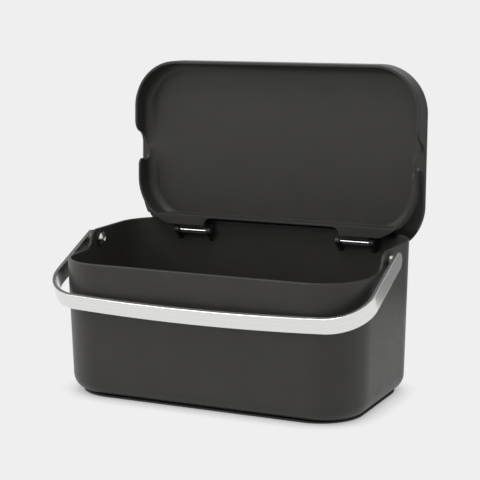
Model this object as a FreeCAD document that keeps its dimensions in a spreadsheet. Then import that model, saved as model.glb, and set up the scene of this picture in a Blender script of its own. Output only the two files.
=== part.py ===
import FreeCAD, Part
import Sketcher
import math
import os

# Countertop waste bin: a plastic body, a hinged lid standing open and a steel carry handle.
# Lengths in millimetres, angles in degrees. X runs across, the front faces -Y, Z is up
# from the surface the bin stands on, and the origin is under the middle of the bin.
SIZES = {
    # plastic body
    "bin_width": 280.0,
    "bin_depth": 166.0,
    "rim_height": 133.8,
    "front_drop": 16.0,
    "corner_radius": 43.0,
    "base_inset": 3.7,
    "wall": 3.0,
    "base_round": 14.0,
    "rim_round": 1.2,
    "step_head": 4.0,
    "step_run": 22.0,
    "recess_inset": 30.0,
    "recess_depth": 1.0,
    # rubber pad the bin stands on
    "pad_height": 1.5,
    "pad_inset": 10.0,
    "pad_round": 0.5,
    # lid hinge at the rear wall
    "hinge_inset": 9.4,
    "hinge_drop": 9.8,
    "hinge_corner_gap": 16.6,
    "pin_radius": 1.25,
    "pin_fit": 0.02,
    "lug_gap": 28.0,
    "lug_width": 4.2,
    "lug_radius": 3.3,
    "lug_foot": 12.0,
    "stop_reach": 2.95,
    "stop_base": 3.4,
    "stop_height": 3.0,
    # lid
    "open_angle": 92.2,
    "lid_gap": 0.4,
    "lid_rise": 6.4,
    "lid_plate": 2.6,
    "lid_skirt": 3.0,
    "lid_edge_round": 2.2,
    "lid_inner_round": 7.5,
    "lid_step_gap": 1.0,
    "lid_rim_round": 0.8,
    "lip_inset": 4.5,
    "lip_wall": 2.0,
    "lip_radius": 44.0,
    "lip_turn": 47.5,
    "lip_start": 5.0,
    "lip_run": 9.0,
    "jog_start": -5.0,
    "jog_run": 8.0,
    "rib_reach": 14.4,
    "rib_wall": 1.8,
    "ear_reach": 5.2,
    "ear_wall": 3.0,
    "ear_half": 13.4,
    "ear_round": 7.0,
    "clip_radius": 3.0,
    "clip_fit": 0.05,
    "clip_lip": 0.45,
    "clip_side_gap": 0.5,
    "clip_top": 2.5,
    "clip_under": 2.2,
    "clip_root": 7.0,
    # carry handle and its pivots
    "strap_width": 15.0,
    "strap_thickness": 3.6,
    "strap_round": 0.8,
    "arm_gap": 4.3,
    "handle_gap": 0.4,
    "bend_radius": 37.0,
    "front_radius": 1400.0,
    "rest_angle": 24.6,
    "pivot_drop": 9.5,
    "boss_radius": 8.0,
    "boss_rise": 0.2,
    "seat_rise": 0.6,
    "bush_radius": 3.5,
    "bush_fit": 0.02,
    "flange_radius": 7.4,
    "flange_thickness": 1.0,
    "shank_radius": 2.5,
    "shank_fit": 0.05,
    "shank_bite": 2.4,
    "bite_spare": 0.2,
    "head_radius": 6.0,
    "head_height": 3.0,
    "head_edge": 0.5,
    "socket_radius": 2.2,
    "socket_depth": 1.5,
    "spacer_radius": 6.0,
    "side_play": 0.1,
    # how far every cut runs past what it cuts
    "overrun": 2.0,
}
WALL_BITE_SHARE = 0.4
END_ROUND_SHARE = 0.495
SIDES = {"left": -1, "right": 1}

doc = FreeCAD.newDocument("CountertopWasteBin")
sheet = doc.addObject("Spreadsheet::Sheet", "sheet")
for row, (name, value) in enumerate(SIZES.items(), start=1):
    sheet.set("A%d" % row, name)
    sheet.set("B%d" % row, str(value))
    sheet.setAlias("B%d" % row, name)
doc.recompute()


def size(name):
    return float(sheet.get(name))


HINGE_X = size("bin_width") / 2 - size("corner_radius") - size("hinge_corner_gap")
HINGE_Y = size("bin_depth") / 2 - size("hinge_inset")
HINGE_Z = size("rim_height") - size("hinge_drop")
HINGE_X_TEXT = "(sheet.bin_width / 2 - sheet.corner_radius - sheet.hinge_corner_gap)"
HINGE_Y_TEXT = "(sheet.bin_depth / 2 - sheet.hinge_inset)"
HINGE_Z_TEXT = "(sheet.rim_height - sheet.hinge_drop)"
PIVOT_Z_TEXT = "(sheet.rim_height - sheet.pivot_drop)"
FRONT = -size("bin_depth") / 2 - size("overrun")
BACK = size("bin_depth") / 2 + size("overrun")
ACROSS = "sheet.bin_width + 2 * sheet.overrun"
SLOPE = "sheet.base_inset / sheet.rim_height"


def new_body(label):
    body = doc.addObject("PartDesign::Body", label)
    body.Label = label
    return body


def new_sketch(body, role, level, shift=("0", "0")):
    """A sketch on one of the body's planes, moved along its normal and within the plane."""
    sketch = body.newObject("Sketcher::SketchObject", "sketch")
    plane = [item for item in body.Origin.OriginFeatures if item.Role == role][0]
    sketch.AttachmentSupport = [(plane, "")]
    sketch.MapMode = "FlatFace"
    sketch.setExpression("AttachmentOffset.Base.x", shift[0])
    sketch.setExpression("AttachmentOffset.Base.y", shift[1])
    sketch.setExpression("AttachmentOffset.Base.z", level)
    return sketch


def bind(sketch, constraint, text):
    index = sketch.addConstraint(constraint)
    sketch.setExpression("Constraints[%d]" % index, text)


def outline(sketch, start, steps):
    """A closed outline. A step is a line's end, or an arc's middle and end."""
    first = None
    here = FreeCAD.Vector(*start)
    last = None
    for step in steps:
        end = FreeCAD.Vector(*step[-1])
        if len(step) == 1:
            edge = sketch.addGeometry(Part.LineSegment(here, end), False)
            begin, finish = 1, 2
        else:
            edge = sketch.addGeometry(Part.Arc(here, FreeCAD.Vector(*step[0]), end), False)
            to_here = sketch.getPoint(edge, 1).distanceToPoint(here)
            to_end = sketch.getPoint(edge, 1).distanceToPoint(end)
            begin, finish = (1, 2) if to_here < to_end else (2, 1)
        if last is None:
            first = (edge, begin)
        else:
            sketch.addConstraint(Sketcher.Constraint("Coincident", last[0], last[1], edge, begin))
        last = (edge, finish)
        here = end
    sketch.addConstraint(Sketcher.Constraint("Coincident", last[0], last[1], first[0], first[1]))


def mirrored(start, steps):
    """Closes a path that begins and ends on the middle plane with its mirror image."""
    ends = [start] + [step[-1] for step in steps]
    back = []
    for place in range(len(steps) - 1, -1, -1):
        points = list(steps[place][:-1]) + [ends[place]]
        back.append([(-point[0], point[1]) for point in points])
    return steps + back


def flipped(points, side):
    return [(side * point[0], point[1]) for point in points]


def step_curve(head, foot, high, low):
    """Two equal arcs from the high level's end to the low level's start, level at both."""
    run = foot - head
    rise = high - low
    radius = (run ** 2 + rise ** 2) / (4 * rise)
    half_turn = math.atan2(rise, abs(run))
    along = math.copysign(radius * math.sin(half_turn), run)
    sag = radius * (1 - math.cos(half_turn))
    middle = ((head + foot) / 2, (high + low) / 2)
    return [[(head + along, high - sag), middle], [(foot - along, low + sag), (foot, low)]]


def rounded_rectangle(sketch, width, depth, radius):
    half_x = size("bin_width") / 2
    half_y = size("bin_depth") / 2
    bend = size("corner_radius")
    middles = [(1, -1, -90), (1, 1, 0), (-1, 1, 90), (-1, -1, 180)]
    flat_x = half_x - bend
    flat_y = half_y - bend
    starts = [(-flat_x, -half_y), (half_x, -flat_y), (flat_x, half_y), (-half_x, flat_y)]
    ends = [(flat_x, -half_y), (half_x, flat_y), (-flat_x, half_y), (-half_x, -flat_y)]
    for start, end, (sign_x, sign_y, angle) in zip(starts, ends, middles):
        sketch.addGeometry(Part.LineSegment(FreeCAD.Vector(*start), FreeCAD.Vector(*end)), False)
        centre = FreeCAD.Vector(sign_x * flat_x, sign_y * flat_y)
        circle = Part.Circle(centre, FreeCAD.Vector(0, 0, 1), bend)
        turn = math.radians(angle)
        sketch.addGeometry(Part.ArcOfCircle(circle, turn, turn + math.pi / 2), False)
    for line in (0, 2, 4, 6):
        arc = line + 1
        sketch.addConstraint(Sketcher.Constraint("Tangent", line, 2, arc, 1))
        sketch.addConstraint(Sketcher.Constraint("Tangent", arc, 2, (line + 2) % 8, 1))
    for line in (0, 4):
        sketch.addConstraint(Sketcher.Constraint("Horizontal", line))
        sketch.addConstraint(Sketcher.Constraint("Vertical", line + 2))
    for arc in (3, 5, 7):
        sketch.addConstraint(Sketcher.Constraint("Equal", 1, arc))
    sketch.addConstraint(Sketcher.Constraint("Symmetric", 0, 1, 4, 1, -1, 1))
    bind(sketch, Sketcher.Constraint("Radius", 1, bend), radius)
    bind(sketch, Sketcher.Constraint("DistanceX", 6, 1, 2, 1, 2 * half_x), width)
    bind(sketch, Sketcher.Constraint("DistanceY", 0, 1, 4, 1, 2 * half_y), depth)


def inset_rectangle(sketch, inset):
    """The bin's outline drawn in by a distance, its corners turning a little tighter."""
    rounded_rectangle(sketch, "sheet.bin_width - 2 * %s" % inset, "sheet.bin_depth - 2 * %s" % inset,
                      "sheet.corner_radius - %s / 2" % inset)


def disc(sketch, radius):
    """A circle about the sketch's origin."""
    circle = Part.Circle(FreeCAD.Vector(0, 0, 0), FreeCAD.Vector(0, 0, 1), size("wall"))
    sketch.addGeometry(circle, False)
    sketch.addConstraint(Sketcher.Constraint("Coincident", 0, 3, -1, 1))
    bind(sketch, Sketcher.Constraint("Radius", 0, size("wall")), radius)


def extrude(body, kind, sketch, length, symmetric=False, backward=False):
    feature = body.newObject("PartDesign::" + kind, kind.lower())
    feature.Profile = sketch
    feature.setExpression("Length", length)
    feature.Reversed = backward
    if symmetric:
        feature.SideType = "Symmetric"
    doc.recompute()
    return feature


def round_edges(body, wanted, radius):
    base = body.Tip
    names = ["Edge%d" % number for number, edge in enumerate(base.Shape.Edges, start=1) if wanted(edge)]
    feature = body.newObject("PartDesign::Fillet", "round")
    feature.Base = (base, names)
    feature.setExpression("Radius", radius)
    doc.recompute()
    return feature


def at_level(level):
    near = size("side_play")
    return lambda edge: abs(edge.BoundBox.ZMin - level) < near and abs(edge.BoundBox.ZMax - level) < near


def lean_sides(body, block):
    """Leans the block's sides in towards the floor, its top outline staying as drawn."""
    sides = []
    top = []
    for number, face in enumerate(block.Shape.Faces, start=1):
        normal = face.normalAt(0, 0)
        if abs(normal.z) < 0.5:
            sides.append("Face%d" % number)
        elif normal.z > 0:
            top.append("Face%d" % number)
    draft = body.newObject("PartDesign::Draft", "lean")
    draft.Base = (block, sides)
    draft.NeutralPlane = (block, top)
    draft.Reversed = True
    draft.setExpression("Angle", "atan(%s)" % SLOPE)
    doc.recompute()
    return draft


def make_bin():
    body = new_body("bin_body")
    high = size("rim_height")
    low = high - size("front_drop")
    head = -size("step_head")
    foot = head - size("step_run")
    top = high + 2 * size("overrun")

    sketch = new_sketch(body, "XY_Plane", "sheet.pad_height")
    wider = "sheet.overrun * " + SLOPE
    rounded_rectangle(sketch, "sheet.bin_width + 2 * " + wider, "sheet.bin_depth + 2 * " + wider,
                      "sheet.corner_radius + " + wider)
    block = extrude(body, "Pad", sketch, "sheet.rim_height + sheet.overrun - sheet.pad_height")
    lean_sides(body, block)
    solid = round_edges(body, at_level(size("pad_height")), "sheet.base_round")
    shell = body.newObject("PartDesign::Thickness", "shell")
    ceiling = ["Face%d" % number for number, face in enumerate(solid.Shape.Faces, start=1)
               if face.BoundBox.ZMin > high]
    shell.Base = (solid, ceiling)
    shell.setExpression("Value", "sheet.wall")
    shell.Reversed = True
    doc.recompute()

    sketch = new_sketch(body, "YZ_Plane", "0")
    outline(sketch, (BACK, high), [[(head, high)]] + step_curve(head, foot, high, low)
            + [[(FRONT, low)], [(FRONT, top)], [(BACK, top)], [(BACK, high)]])
    rim = extrude(body, "Pocket", sketch, ACROSS, symmetric=True)

    rim_faces = [face for face in rim.Shape.Faces if face.BoundBox.ZMin > low - size("side_play")]
    uses = {}
    for face in rim_faces:
        for edge in face.Edges:
            uses[edge.hashCode()] = uses.get(edge.hashCode(), 0) + 1
    round_edges(body, lambda edge: uses.get(edge.hashCode()) == 1, "sheet.rim_round")

    sketch = new_sketch(body, "XY_Plane", "sheet.pad_height")
    inset_rectangle(sketch, "sheet.recess_inset")
    extrude(body, "Pocket", sketch, "sheet.recess_depth", backward=True)

    for side in SIDES.values():
        seat = "%d * (sheet.bin_width / 2 - sheet.wall - sheet.seat_rise)" % side
        sketch = new_sketch(body, "YZ_Plane", seat, ("0", PIVOT_Z_TEXT))
        disc(sketch, "sheet.boss_radius")
        extrude(body, "Pad", sketch, "sheet.wall + sheet.seat_rise + sheet.boss_rise", backward=side < 0)
        sketch = new_sketch(body, "YZ_Plane", "%d * sheet.bin_width / 2" % side, ("0", PIVOT_Z_TEXT))
        disc(sketch, "sheet.bush_radius + sheet.bush_fit")
        extrude(body, "Pocket", sketch, "2 * (sheet.wall + sheet.overrun)", symmetric=True)
        make_lugs(body, side)
    return body


def make_pad():
    body = new_body("base_pad")
    sketch = new_sketch(body, "XY_Plane", "0")
    inset_rectangle(sketch, "sheet.pad_inset")
    extrude(body, "Pad", sketch, "sheet.pad_height")
    round_edges(body, at_level(0), "sheet.pad_round")
    return body


def make_lugs(body, side):
    """Two lugs that hold a hinge pin's ends, and the web between them that stops the open lid."""
    radius = size("lug_radius")
    wall_y = size("hinge_inset") - size("wall") * (1 - WALL_BITE_SHARE)
    axis = (HINGE_Y_TEXT, HINGE_Z_TEXT)
    for end in (-1, 1):
        place = "%d * (%s + %d * (sheet.lug_gap + sheet.lug_width) / 2)" % (side, HINGE_X_TEXT, end)
        sketch = new_sketch(body, "YZ_Plane", place, axis)
        outline(sketch, (0, radius), [[(wall_y, radius)], [(wall_y, -size("lug_foot"))], [(0, -radius)],
                                      [(-radius, 0), (0, radius)]])
        extrude(body, "Pad", sketch, "sheet.lug_width", symmetric=True)
    place = "%d * %s" % (side, HINGE_X_TEXT)
    low = size("stop_base")
    high = low + size("stop_height")
    near = size("stop_reach")
    sketch = new_sketch(body, "YZ_Plane", place, axis)
    outline(sketch, (near, low), [[(wall_y, low)], [(wall_y, high)], [(near, high)], [(near, low)]])
    extrude(body, "Pad", sketch, "sheet.lug_gap + 2 * sheet.lug_width", symmetric=True)
    sketch = new_sketch(body, "YZ_Plane", place, axis)
    disc(sketch, "sheet.pin_radius + sheet.pin_fit")
    extrude(body, "Pocket", sketch, "sheet.lug_gap + 2 * (sheet.lug_width + sheet.overrun)", symmetric=True)


def make_lid():
    """Drawn closed, about the hinge axis, then swung open by the body's placement."""
    body = new_body("lid")
    to_axis = ("0", "-" + HINGE_Y_TEXT)
    bottom = "sheet.hinge_drop - sheet.front_drop + sheet.lid_gap - sheet.overrun"
    side_view = ("-" + HINGE_Y_TEXT, "-" + HINGE_Z_TEXT)
    ledge = size("rim_height") + size("lid_gap")
    edge = ledge - size("front_drop")
    under = edge - 2 * size("overrun")
    ceiling = size("rim_height") + size("lid_rise") - size("lid_plate")

    sketch = new_sketch(body, "XY_Plane", bottom, to_axis)
    wider = "sheet.lid_rise * " + SLOPE
    rounded_rectangle(sketch, "sheet.bin_width + 2 * " + wider, "sheet.bin_depth + 2 * " + wider,
                      "sheet.corner_radius + " + wider)
    block = extrude(body, "Pad", sketch, "sheet.front_drop + sheet.lid_rise - sheet.lid_gap + sheet.overrun")
    lean_sides(body, block)
    round_edges(body, at_level(size("hinge_drop") + size("lid_rise")), "sheet.lid_edge_round")

    # the hollow: close behind the skirt in front, behind the set-back lip and the rib at the rear
    skirt_x = size("bin_width") / 2 - size("lid_skirt")
    skirt_y = size("bin_depth") / 2 - size("lid_skirt")
    bend = size("corner_radius") - size("lid_skirt")
    diagonal = bend * (1 - math.sqrt(0.5))
    lip_out = size("bin_width") / 2 - size("lip_inset")
    lip_in = lip_out - size("lip_wall")
    turn_x = lip_out - size("lip_radius")
    turn_y = HINGE_Y - size("lip_turn")
    rib_front = HINGE_Y - size("rib_reach")
    rib_rear = rib_front + size("rib_wall")
    ear_rear = HINGE_Y - size("ear_reach")

    def lip_arc(radius, start_y, end_y):
        """Middle and end of an arc of the lip's corner, between two distances from the front."""
        first = math.asin((start_y - turn_y) / radius)
        final = math.asin((end_y - turn_y) / radius)
        return [(turn_x + radius * math.cos(turn), turn_y + radius * math.sin(turn))
                for turn in ((first + final) / 2, final)]

    jog_start = size("jog_start")
    jog_end = jog_start + size("jog_run")
    inward = step_curve(jog_start, jog_end, skirt_x, lip_in)
    jog = [[(point[1], point[0]) for point in step] for step in inward]
    inner_arc = lip_arc(size("lip_radius") - size("lip_wall"), turn_y, rib_front)
    path = [[(skirt_x - bend, -skirt_y)],
            [(skirt_x - diagonal, diagonal - skirt_y), (skirt_x, bend - skirt_y)], [(skirt_x, jog_start)]]
    path += jog + [[(lip_in, turn_y)], inner_arc, [(0, rib_front)]]
    sketch = new_sketch(body, "XY_Plane", bottom, to_axis)
    outline(sketch, (0, -skirt_y), mirrored((0, -skirt_y), path))
    extrude(body, "Pocket", sketch, "sheet.front_drop + sheet.lid_rise - sheet.lid_gap - sheet.lid_plate"
            " + sheet.overrun", backward=True)
    near = size("side_play")
    at_ceiling = at_level(ceiling - HINGE_Z)
    round_edges(body, lambda line: at_ceiling(line) and line.BoundBox.YMin < -size("rib_reach") - near,
                "sheet.lid_inner_round")

    # the lower edge: skirt over the low rim, bare past the pivots, lip down inside the high rim
    head = -size("step_head") - size("lid_step_gap")
    foot = head - size("step_run")
    start = size("lip_start")
    full = start + size("lip_run")
    rise = step_curve(head, foot, ledge, edge)
    upward = [[rise[1][0], rise[0][1]], [rise[0][0], (head, ledge)]]
    sketch = new_sketch(body, "YZ_Plane", "0", side_view)
    outline(sketch, (FRONT, edge), [[(foot, edge)]] + upward + [[(start, ledge)]]
            + step_curve(start, full, ledge, edge)
            + [[(BACK, edge)], [(BACK, under)], [(FRONT, under)], [(FRONT, edge)]])
    extrude(body, "Pocket", sketch, ACROSS, symmetric=True)

    # outside the lip only a ledge is left, which lies over the high rim
    beyond = size("bin_width") / 2 + size("overrun")
    outer_arc = lip_arc(size("lip_radius"), turn_y, rib_rear)
    sketch = new_sketch(body, "XY_Plane", bottom, to_axis)
    for side in SIDES.values():
        steps = [[(lip_out, turn_y)], outer_arc, [(beyond, rib_rear)], [(beyond, start)], [(lip_out, start)]]
        outline(sketch, (side * lip_out, start), [flipped(step, side) for step in steps])
    extrude(body, "Pocket", sketch, "sheet.front_drop + sheet.overrun", backward=True)
    sketch = new_sketch(body, "YZ_Plane", "0", side_view)
    outline(sketch, (rib_rear, under), [[(BACK, under)], [(BACK, ceiling)], [(rib_rear, ceiling)],
                                        [(rib_rear, under)]])
    extrude(body, "Pocket", sketch, ACROSS, symmetric=True)

    # flat ears behind the rib
    rib_middle = (rib_front + rib_rear) / 2
    ear_end = HINGE_X - size("ear_half")
    ear_round = size("ear_round")
    tuck = ear_round * math.sqrt(0.5)
    ear_x = ear_end - ear_round
    ear_turn_y = rib_rear + ear_round
    first = lip_arc(size("lip_radius"), turn_y, rib_middle)[-1]
    steps = [lip_arc(size("lip_radius"), rib_middle, ear_rear), [(ear_end, ear_rear)],
             [(ear_end, ear_turn_y)], [(ear_x + tuck, ear_turn_y - tuck), (ear_x, rib_rear)],
             [(ear_x, rib_middle)], [first]]
    sketch = new_sketch(body, "XY_Plane", bottom + " + sheet.overrun", to_axis)
    for side in SIDES.values():
        outline(sketch, (side * first[0], first[1]), [flipped(step, side) for step in steps])
    extrude(body, "Pad", sketch, "sheet.ear_wall")

    # soft free edges along the skirt and round the mouth of the hollow
    level = size("hinge_drop") - size("front_drop") + size("lid_gap")
    round_edges(body, lambda line: at_level(level)(line) and line.BoundBox.YMax < foot - HINGE_Y + near
                and line.Length > 2 * size("lip_wall"), "sheet.lid_rim_round")

    for side in SIDES.values():
        make_clip(body, side)

    body.Placement = FreeCAD.Placement(FreeCAD.Vector(0, HINGE_Y, HINGE_Z),
                                       FreeCAD.Rotation(FreeCAD.Vector(-1, 0, 0), size("open_angle")))
    body.setExpression("Placement.Base.y", HINGE_Y_TEXT)
    body.setExpression("Placement.Base.z", HINGE_Z_TEXT)
    body.setExpression("Placement.Rotation.Angle", "sheet.open_angle")
    return body


def make_clip(body, side):
    """The long knuckle under an ear that snaps over a hinge pin and leaves the pin's lower side bare."""
    radius = size("clip_radius")
    top = size("clip_top")
    under = size("clip_under")
    root = -size("rib_reach") + size("rib_wall") / 2
    ear_top = size("hinge_drop") - size("front_drop") + size("lid_gap") + size("ear_wall") / 2
    clip_root = -size("clip_root")
    mouth = -math.sqrt(radius ** 2 - under ** 2)
    place = "%d * %s" % (side, HINGE_X_TEXT)
    length = "sheet.lug_gap - 2 * sheet.clip_side_gap"
    sketch = new_sketch(body, "YZ_Plane", place)
    outline(sketch, (root, top), [[(-math.sqrt(radius ** 2 - top ** 2), top)],
                                  [(radius, 0), (mouth, -under)],
                                  [(clip_root, -under)], [(clip_root, ear_top)], [(root, ear_top)],
                                  [(root, top)]])
    extrude(body, "Pad", sketch, length, symmetric=True)
    sketch = new_sketch(body, "YZ_Plane", place)
    disc(sketch, "sheet.pin_radius + sheet.clip_fit")
    extrude(body, "Pocket", sketch, length, symmetric=True)
    lip = -size("clip_lip")
    sketch = new_sketch(body, "YZ_Plane", place)
    outline(sketch, (mouth, lip), [[(2 * radius, lip)], [(2 * radius, -2 * radius)], [(mouth, -2 * radius)],
                                   [(mouth, lip)]])
    extrude(body, "Pocket", sketch, length, symmetric=True)


def make_strap():
    """A U of flat bar, drawn level about the pivot axis, then lowered onto the front wall."""
    body = new_body("handle_strap")
    thick = size("strap_thickness")
    width = size("strap_width")
    outer_x = size("bin_width") / 2 + size("arm_gap") + thick
    bend = size("bend_radius")
    sweep = size("front_radius")

    # its lower inner edge clears the leaning front wall where the wall's corners begin
    tilt = math.radians(size("rest_angle"))
    corner_x = size("bin_width") / 2 - size("corner_radius")
    lean = size("base_inset") / size("rim_height")
    level_reach = size("bin_depth") / 2 + width / 2 * math.sin(tilt) + size("handle_gap")
    drop = size("pivot_drop") + width / 2 * math.cos(tilt) + level_reach * math.tan(tilt)
    level_reach -= drop * lean / (1 + lean * math.tan(tilt))
    reach = level_reach / math.cos(tilt) + thick + sweep - math.sqrt(sweep ** 2 - corner_x ** 2)
    sweep_y = sweep - reach
    bend_x = outer_x - bend
    bend_y = sweep_y - math.sqrt((sweep - bend) ** 2 - bend_x ** 2)
    slant = math.asin(bend_x / (sweep - bend))
    end_y = width / 2

    def edge_path(inset):
        """One edge of the right half, from the middle of the front to the end of the arm."""
        radius = bend - inset
        turn = (slant + math.pi / 2) / 2
        joint = (bend_x + radius * math.sin(slant), bend_y - radius * math.cos(slant))
        half_slant = slant / 2
        between = ((sweep - inset) * math.sin(half_slant), sweep_y - (sweep - inset) * math.cos(half_slant))
        middle = (bend_x + radius * math.sin(turn), bend_y - radius * math.cos(turn))
        return [[between, joint], [middle, (outer_x - inset, bend_y)], [(outer_x - inset, end_y)]]

    outer = edge_path(0)
    inner = edge_path(thick)
    inner_ends = [(0, thick - reach)] + [step[-1] for step in inner]
    inner_back = [inner[place][:-1] + [inner_ends[place]] for place in range(len(inner) - 1, -1, -1)]
    front = (0, -reach)
    half = outer + [[inner_ends[-1]]] + inner_back
    sketch = new_sketch(body, "XY_Plane", "0")
    outline(sketch, front, mirrored(front, half))
    extrude(body, "Pad", sketch, "sheet.strap_width", symmetric=True)
    near = size("side_play")
    round_edges(body, lambda line: line.BoundBox.YMin > end_y - near and line.BoundBox.ZLength < near,
                "sheet.strap_width * %g" % END_ROUND_SHARE)
    round_edges(body, lambda line: at_level(end_y)(line) or at_level(-end_y)(line), "sheet.strap_round")
    for side in SIDES.values():
        sketch = new_sketch(body, "YZ_Plane", "%d * (sheet.bin_width / 2 + sheet.arm_gap)" % side)
        disc(sketch, "sheet.shank_radius + sheet.pin_fit")
        extrude(body, "Pocket", sketch, "sheet.shank_bite + sheet.bite_spare", backward=side > 0)
    body.Placement = FreeCAD.Placement(FreeCAD.Vector(0, 0, 0),
                                       FreeCAD.Rotation(FreeCAD.Vector(1, 0, 0), size("rest_angle")))
    body.setExpression("Placement.Base.z", PIVOT_Z_TEXT)
    body.setExpression("Placement.Rotation.Angle", "sheet.rest_angle")
    return body


def make_turned(label, start, steps, side):
    """A turned piece on the handle's pivot axis, drawn as distance across against radius."""
    body = new_body(label)
    sketch = new_sketch(body, "XY_Plane", "0")
    outline(sketch, (side * start[0], start[1]), [flipped(step, side) for step in steps])
    turned = body.newObject("PartDesign::Revolution", "turned")
    turned.Profile = sketch
    turned.ReferenceAxis = ([item for item in body.Origin.OriginFeatures if item.Role == "X_Axis"][0], [""])
    body.setExpression("Placement.Base.z", PIVOT_Z_TEXT)
    doc.recompute()
    return body


def make_tube(label, side, rings, bore):
    """A turned piece with a bore: rings are (from, to, radius), end to end from inside out."""
    start = (rings[0][0], bore)
    steps = []
    for begin, end, radius in rings:
        steps += [[(begin, radius)], [(end, radius)]]
    return make_turned(label, start, steps + [[(rings[-1][1], bore)], [start]], side)


def make_screw(label, side, base):
    """Domed head inside the wall, plain shank through wall and spacer into the handle's arm."""
    rim = size("head_radius")
    cap = size("head_height") - size("head_edge")
    sphere = (rim ** 2 + cap ** 2) / (2 * cap)
    half_turn = math.asin(rim / sphere) / 2
    top = base - size("head_height")
    tip = size("bin_width") / 2 + size("arm_gap") + size("shank_bite")
    shank = size("shank_radius")
    dome = [(top + sphere * (1 - math.cos(half_turn)), sphere * math.sin(half_turn)), (top + cap, rim)]
    body = make_turned(label, (top, 0), [dome, [(base, rim)], [(base, shank)], [(tip, shank)], [(tip, 0)],
                                         [(top, 0)]], side)
    corners = [(size("socket_radius") * math.cos(turn * math.pi / 3), size("socket_radius")
                * math.sin(turn * math.pi / 3)) for turn in range(6)]
    sketch = new_sketch(body, "YZ_Plane", "%d * %s" % (side, top))
    outline(sketch, corners[-1], [[corner] for corner in corners])
    extrude(body, "Pocket", sketch, "2 * sheet.socket_depth", symmetric=True)
    return body


def make_pin(label, side):
    pin = doc.addObject("Part::Cylinder", label)
    pin.Label = label
    pin.setExpression("Radius", "sheet.pin_radius")
    pin.setExpression("Height", "sheet.lug_gap + 2 * sheet.lug_width")
    pin.Placement = FreeCAD.Placement(FreeCAD.Vector(0, 0, 0), FreeCAD.Rotation(FreeCAD.Vector(0, 1, 0), 90))
    pin.setExpression("Placement.Base.x",
                      "%d * %s - sheet.lug_gap / 2 - sheet.lug_width" % (side, HINGE_X_TEXT))
    pin.setExpression("Placement.Base.y", HINGE_Y_TEXT)
    pin.setExpression("Placement.Base.z", HINGE_Z_TEXT)
    doc.recompute()
    return pin


def make_pivot(name, side):
    seat = size("bin_width") / 2 - size("wall") - size("seat_rise")
    flange = seat - size("flange_thickness")
    face = size("bin_width") / 2 + size("boss_rise")
    arm = size("bin_width") / 2 + size("arm_gap")
    bush = make_tube("pivot_bush_" + name, side,
                     [(flange, seat, size("flange_radius")), (seat, face, size("bush_radius"))],
                     size("shank_radius") + size("shank_fit"))
    spacer = make_tube("pivot_spacer_" + name, side,
                       [(face + size("side_play"), arm, size("spacer_radius"))],
                       size("shank_radius") + size("pin_fit"))
    return [bush, spacer, make_screw("pivot_screw_" + name, side, flange - size("side_play"))]


bodies = [make_bin(), make_pad(), make_lid(), make_strap()]
for name, side in SIDES.items():
    bodies += [make_pin("hinge_pin_" + name, side)] + make_pivot(name, side)
doc.recompute()
for item in doc.Objects:
    if "Invalid" in item.State or "Error" in item.State:
        raise RuntimeError("%s: %s" % (item.Name, item.State))
for body in bodies:
    shape = body.Shape
    if shape.isNull() or not shape.isValid() or len(shape.Solids) != 1:
        raise RuntimeError("%s is not one valid solid" % body.Label)
os.makedirs("parts", exist_ok=True)
for body in bodies:
    body.Shape.exportStep("parts/%s.step" % body.Label)
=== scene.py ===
import math

import bpy
from mathutils import Matrix, Vector

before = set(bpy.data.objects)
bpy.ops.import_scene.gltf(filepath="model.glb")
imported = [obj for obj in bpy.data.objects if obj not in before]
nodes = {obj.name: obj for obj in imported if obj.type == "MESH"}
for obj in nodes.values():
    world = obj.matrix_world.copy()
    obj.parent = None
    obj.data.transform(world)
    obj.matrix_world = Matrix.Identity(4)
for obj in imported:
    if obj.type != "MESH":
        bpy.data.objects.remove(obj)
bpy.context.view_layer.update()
scene = bpy.context.scene

# Lengths in metres.
REST_TILT = math.radians(24.6)  # the handle's arms below level, at rest
PIVOT_Z = 0.1243
WHITE = (1.0, 1.0, 1.0, 1.0)
PALE = 0.863  # the photo's background
SHADOW = 0.26  # the floor close under the bin
SHADOW_REACH = 0.03
EDGE_RADIUS = 0.0008
FLOOR_RADIUS = 6.0
LAMP_DISTANCE = 1.5
LAMP_SIZE = 0.5
BIN_MIDDLE = Vector((0.0, 0.0, 0.1))
SKY_BASE = 0.03
# direction, narrowness and strength of the sky's soft lights
SOFT_BOXES = (
    ((0.47, -0.39, 0.79), 8.0, 0.4),
    ((-1.0, 0.1, 0.1), 6.0, 6.5),  # rim lights at both sides and behind
    ((1.0, 0.2, 0.1), 6.0, 2.4),
    ((0.45, 0.89, 0.09), 6.0, 1.1),
)
# the photo's camera, from the fit to its edges
CAMERA_PLACE = (0.5490, -1.1471, 0.3570)
CAMERA_TURN = (25.47, 10.03, -0.42)  # yaw, pitch and roll in degrees
FOCAL_PIXELS = 1494.3
PHOTO_PIXELS = 480.0
SENSOR = 36.0


def new_material(name):
    material = bpy.data.materials.new(name)
    material.use_nodes = True
    material.node_tree.nodes.clear()
    return material


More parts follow.
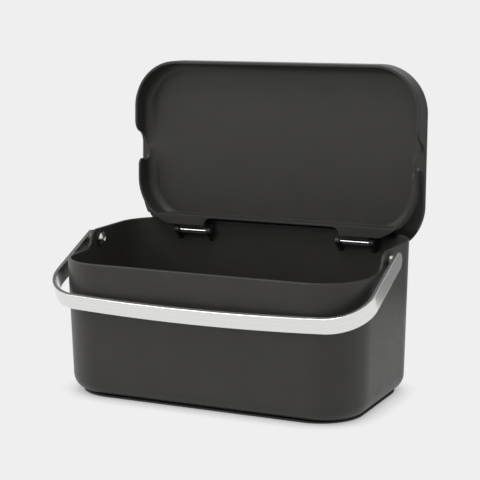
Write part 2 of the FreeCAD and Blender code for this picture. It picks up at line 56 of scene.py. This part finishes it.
class Graph:
    """Adds nodes to one material or world and wires them."""

    def __init__(self, tree):
        self.tree = tree

    def add(self, kind, inputs=None, **settings):
        node = self.tree.nodes.new(kind)
        for key, value in settings.items():
            setattr(node, key, value)
        for key, value in (inputs or {}).items():
            socket = node.inputs[key]
            if isinstance(value, bpy.types.NodeSocket):
                self.tree.links.new(value, socket)
            else:
                socket.default_value = value
        return node

    def math(self, operation, *values):
        return self.add("ShaderNodeMath", dict(enumerate(values)), operation=operation).outputs[0]

    def noise(self, vector, scale, detail=3.0):
        return self.add("ShaderNodeTexNoise", {"Vector": vector, "Scale": scale, "Detail": detail}).outputs["Fac"]

    def ramp(self, value, start, end, first, last):
        return self.add("ShaderNodeMapRange", {"Value": value, "From Min": start, "From Max": end,
                                               "To Min": first, "To Max": last}).outputs["Result"]

    def spread(self, noise, first, last):
        """Noise, which stays about its middle, spread between two values."""
        return self.ramp(noise, 0.25, 0.75, first, last)

    def mix(self, factor, first, second):
        node = self.add("ShaderNodeMix", {0: factor}, data_type="RGBA")
        colours = [socket for socket in node.inputs if socket.type == "RGBA"]
        for socket, value in zip(colours, (first, second)):
            socket.default_value = (*value, 1.0)
        return [socket for socket in node.outputs if socket.type == "RGBA"][0]

    def place(self):
        return self.add("ShaderNodeTexCoord").outputs["Object"]

    def place_along(self, axis):
        return self.add("ShaderNodeSeparateXYZ", {0: self.place()}).outputs[axis]

    def by_ray(self, light, background):
        """The plain background for the camera, gloss and glass, and the light for all other rays."""
        path = self.add("ShaderNodeLightPath").outputs
        seen = self.math("MAXIMUM", path["Is Camera Ray"], path["Is Glossy Ray"])
        seen = self.math("MAXIMUM", seen, path["Is Transmission Ray"])
        return self.add("ShaderNodeMixShader", {0: seen, 1: light.outputs[0],
                                                2: background.outputs[0]}).outputs[0]

    def finish(self, shader):
        self.add("ShaderNodeOutputMaterial", {"Surface": shader})


def moulded_plastic(name, dark, light, rough, grain):
    """Matte moulded plastic: faint cloudy tone, a fine grain and softly broken edges."""
    material = new_material(name)
    graph = Graph(material.node_tree)
    place = graph.place()
    tone = graph.spread(graph.noise(place, 35.0, 4.0), 0.0, 1.0)
    fine = graph.noise(place, 2600.0, 2.0)
    coarse = graph.noise(place, 260.0)
    relief = graph.math("MULTIPLY_ADD", coarse, 0.35, fine)
    edge = graph.add("ShaderNodeBevel", {"Radius": EDGE_RADIUS}, samples=6).outputs["Normal"]
    bump = graph.add("ShaderNodeBump", {"Strength": grain, "Distance": 0.00012, "Height": relief,
                                        "Normal": edge})
    shader = graph.add("ShaderNodeBsdfPrincipled", {
        "Base Color": graph.mix(tone, dark, light),
        "Roughness": graph.spread(coarse, rough - 0.04, rough + 0.05),
        "Specular IOR Level": 0.3,
        "Normal": bump.outputs["Normal"],
    })
    graph.finish(shader.outputs["BSDF"])
    return material


def brushed_steel(name, colour, rough):
    """Steel brushed along the strap: fine streaks that vary only across its width."""
    material = new_material(name)
    graph = Graph(material.node_tree)
    place = graph.place()
    moved = graph.add("ShaderNodeVectorMath", {0: place, 1: (0.0, 0.0, -PIVOT_Z)}, operation="ADD")
    across = (0.0, -math.sin(REST_TILT), math.cos(REST_TILT))
    width = graph.add("ShaderNodeVectorMath", {0: moved.outputs[0], 1: across}, operation="DOT_PRODUCT")
    shifted = graph.math("MULTIPLY_ADD", graph.noise(place, 14.0, 2.0), 0.0006, width.outputs["Value"])
    streak = graph.add("ShaderNodeTexNoise", {"W": shifted, "Scale": 900.0, "Detail": 3.0, "Roughness": 0.6},
                       noise_dimensions="1D").outputs["Fac"]
    bump = graph.add("ShaderNodeBump", {"Strength": 0.05, "Distance": 0.00005, "Height": streak})
    tint = tuple(value * 0.9 for value in colour)
    shader = graph.add("ShaderNodeBsdfPrincipled", {
        "Base Color": graph.mix(graph.spread(streak, 0.0, 1.0), tint, colour),
        "Metallic": 1.0,
        "Roughness": graph.spread(graph.noise(place, 60.0), rough - 0.02, rough + 0.02),
        "Normal": bump.outputs["Normal"],
    })
    graph.finish(shader.outputs["BSDF"])
    return material


def polished_steel(name, colour, rough):
    """Plain steel with a faint cloud in its tone and gloss."""
    material = new_material(name)
    graph = Graph(material.node_tree)
    cloud = graph.noise(graph.place(), 900.0, 4.0)
    tint = tuple(value * 0.85 for value in colour)
    shader = graph.add("ShaderNodeBsdfPrincipled", {
        "Base Color": graph.mix(graph.spread(cloud, 0.0, 1.0), tint, colour),
        "Metallic": 1.0,
        "Roughness": graph.spread(cloud, rough - 0.03, rough + 0.05),
    })
    graph.finish(shader.outputs["BSDF"])
    return material


def pale_floor():
    """Plain floor that acts as a light card, brightest in front, with a short contact shadow."""
    bpy.ops.mesh.primitive_circle_add(vertices=96, radius=FLOOR_RADIUS, fill_type="NGON", location=(0, 0, 0))
    floor = bpy.context.object
    floor.name = "floor"
    material = new_material("floor_pale")
    graph = Graph(material.node_tree)
    near = graph.add("ShaderNodeAmbientOcclusion", {"Distance": SHADOW_REACH}, samples=8).outputs["AO"]
    card = graph.ramp(graph.place_along("Y"), -0.3, 0.4, 1.0, 0.48)
    shaded = graph.math("MULTIPLY", card, graph.ramp(near, 0.0, 1.0, 0.4, 1.0))
    light = graph.add("ShaderNodeEmission", {"Color": WHITE, "Strength": shaded})
    tone = graph.mix(graph.ramp(near, 0.0, 0.75, 0.0, 1.0), (SHADOW,) * 3, (PALE,) * 3)
    graph.finish(graph.by_ray(light, graph.add("ShaderNodeEmission", {"Color": tone})))
    floor.data.materials.append(material)
    return floor


def flag(name, corners, tone, fade):
    """Grey card outside the picture that only gloss sees, as a studio sets one beside bright metal.

    Its tone fades to the background's between two places across.
    """
    mesh = bpy.data.meshes.new(name)
    mesh.from_pydata(corners, [], [(0, 1, 2, 3)])
    card = bpy.data.objects.new(name, mesh)
    scene.collection.objects.link(card)
    material = new_material(name)
    graph = Graph(material.node_tree)
    shade = graph.ramp(graph.place_along("X"), *fade, tone, PALE)
    graph.finish(graph.add("ShaderNodeEmission", {"Color": WHITE, "Strength": shade}).outputs[0])
    mesh.materials.append(material)
    card.visible_camera = False
    card.visible_diffuse = False
    card.visible_transmission = False
    card.visible_shadow = False
    return card


def studio_sky():
    """Dim sky with soft lights, in front of which the camera sees a plain backdrop."""
    world = bpy.data.worlds.new("studio")
    scene.world = world
    world.use_nodes = True
    world.node_tree.nodes.clear()
    graph = Graph(world.node_tree)
    way = graph.add("ShaderNodeTexCoord").outputs["Generated"]
    strength = SKY_BASE
    for direction, narrowness, amount in SOFT_BOXES:
        aim = Vector(direction).normalized()
        facing = graph.add("ShaderNodeVectorMath", {0: way, 1: aim}, operation="DOT_PRODUCT").outputs["Value"]
        lobe = graph.math("POWER", graph.math("MAXIMUM", facing, 0.0), narrowness)
        strength = graph.math("ADD", strength, graph.math("MULTIPLY", lobe, amount))
    sky = graph.add("ShaderNodeBackground", {"Color": WHITE, "Strength": strength})
    backdrop = graph.add("ShaderNodeBackground", {"Color": (PALE, PALE, PALE, 1.0)})
    graph.add("ShaderNodeOutputWorld", {"Surface": graph.by_ray(sky, backdrop)})


def lamp(name, direction, watts):
    """Square lamp aimed at the bin."""
    light = bpy.data.lights.new(name, "AREA")
    light.size = LAMP_SIZE
    light.energy = watts
    box = bpy.data.objects.new(name, light)
    scene.collection.objects.link(box)
    away = Vector(direction).normalized()
    aim = away.to_track_quat("Z", "Y").to_matrix().to_4x4()
    box.matrix_world = Matrix.Translation(away * LAMP_DISTANCE + BIN_MIDDLE) @ aim
    box.visible_camera = False


def photo_camera():
    yaw, pitch, roll = (math.radians(value) for value in CAMERA_TURN)
    ahead = Vector((-math.sin(yaw) * math.cos(pitch), math.cos(yaw) * math.cos(pitch), -math.sin(pitch)))
    sideways = Vector((math.cos(yaw), math.sin(yaw), 0.0))
    above = sideways.cross(ahead)
    right = sideways * math.cos(roll) + above * math.sin(roll)
    up = above * math.cos(roll) - sideways * math.sin(roll)
    lens = bpy.data.cameras.new("camera")
    lens.sensor_width = SENSOR
    lens.lens = FOCAL_PIXELS / PHOTO_PIXELS * SENSOR
    lens.clip_start = 0.01
    lens.clip_end = 50.0
    camera = bpy.data.objects.new("camera", lens)
    scene.collection.objects.link(camera)
    turn = Matrix((right, up, -ahead)).transposed().to_4x4()
    camera.matrix_world = Matrix.Translation(CAMERA_PLACE) @ turn
    scene.camera = camera


plastic = moulded_plastic("grey_plastic", (0.0305, 0.0293, 0.0270), (0.0360, 0.0346, 0.0319), 0.4, 0.3)
rubber = moulded_plastic("pad_rubber", (0.040, 0.040, 0.038), (0.048, 0.048, 0.046), 0.7, 0.5)
nylon = moulded_plastic("bush_plastic", (0.022, 0.022, 0.021), (0.027, 0.027, 0.026), 0.4, 0.2)
strap = brushed_steel("strap_steel", (0.86, 0.86, 0.85), 0.2)
bright = polished_steel("pin_steel", (0.88, 0.88, 0.87), 0.2)
# the spacers' steel is far darker than the pins': painted shade for their place between arm and wall; the higher
# roughness is the finish
dull_shaded_steel = polished_steel("spacer_steel", (0.32, 0.32, 0.31), 0.35)
looks = {"bin_body": plastic, "lid": plastic, "base_pad": rubber, "handle_strap": strap}
for side in ("left", "right"):
    looks["pivot_bush_" + side] = nylon
    looks["pivot_spacer_" + side] = dull_shaded_steel
    looks["hinge_pin_" + side] = bright
    looks["pivot_screw_" + side] = bright
for name, node in nodes.items():
    node.data.materials.clear()
    node.data.materials.append(looks[name])

pale_floor()
flag("flag_right", [(0.15, 0.22, 0.035), (0.75, 0.22, 0.035), (0.75, 0.22, 0.5), (0.15, 0.22, 0.5)],
              0.26, (0.3, 0.75))
flag("flag_above", [(-1.0, 0.1, 1.0), (0.5, 0.1, 1.0), (0.5, 0.9, 1.0), (-1.0, 0.9, 1.0)],
              0.15, (0.2, 0.5))
studio_sky()
lamp("key", (-0.42, -0.72, 0.55), 4.6)
lamp("overhead", (-0.05, -0.42, 0.90), 8.0)
photo_camera()
scene.view_settings.view_transform = "Standard"
